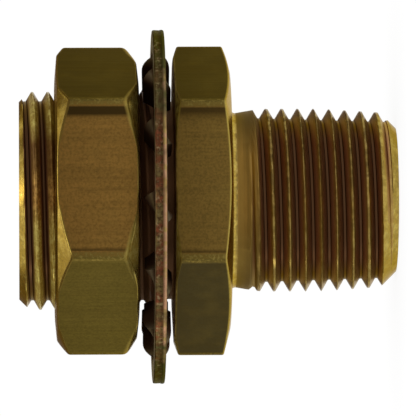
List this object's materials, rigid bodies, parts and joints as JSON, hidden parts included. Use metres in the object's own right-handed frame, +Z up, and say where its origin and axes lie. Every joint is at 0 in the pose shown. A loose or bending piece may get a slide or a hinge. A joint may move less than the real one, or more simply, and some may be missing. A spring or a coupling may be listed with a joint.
{
  "type": "tank connector",
  "caption": "Brass bulkhead pipe connector with a tapered male end, a hexagon flange, a threaded shank with a female pipe end, an internal-tooth lock washer and a lock nut.",
  "frame": {"origin": "centre of the waterway at the end face of the male pipe end, on which the part stands", "axes": "+Z up along the pipe axis, from the male end to the female end; the washer hangs off centre towards -X"},
  "size_m": [0.0409, 0.0408, 0.0435],
  "materials": {
    "brass": "machined, dull and tarnished",
    "zinc_steel": "yellow chromate over zinc plate"
  },
  "bodies": {
    "fitting_body": {"fitting_body": "brass"},
    "lock_washer": {"lock_washer": "zinc_steel"},
    "lock_nut": {"lock_nut": "brass"}
  },
  "joints": [
    {"name": "washer_slide", "type": "slide", "parent": "fitting_body", "child": "lock_washer", "axis": [0, 0, 1], "range_m": [0, 0.0109]},
    {"name": "nut_turn", "type": "hinge", "parent": "lock_washer", "child": "lock_nut", "pos_m": [0, 0, 0.0346], "axis": [0, 0, 1], "range_deg": [0, 2160]}
  ],
  "couplings": [
    {"joint": "washer_slide", "follows": "nut_turn", "m_per_rad": 0.00028875}
  ]
}
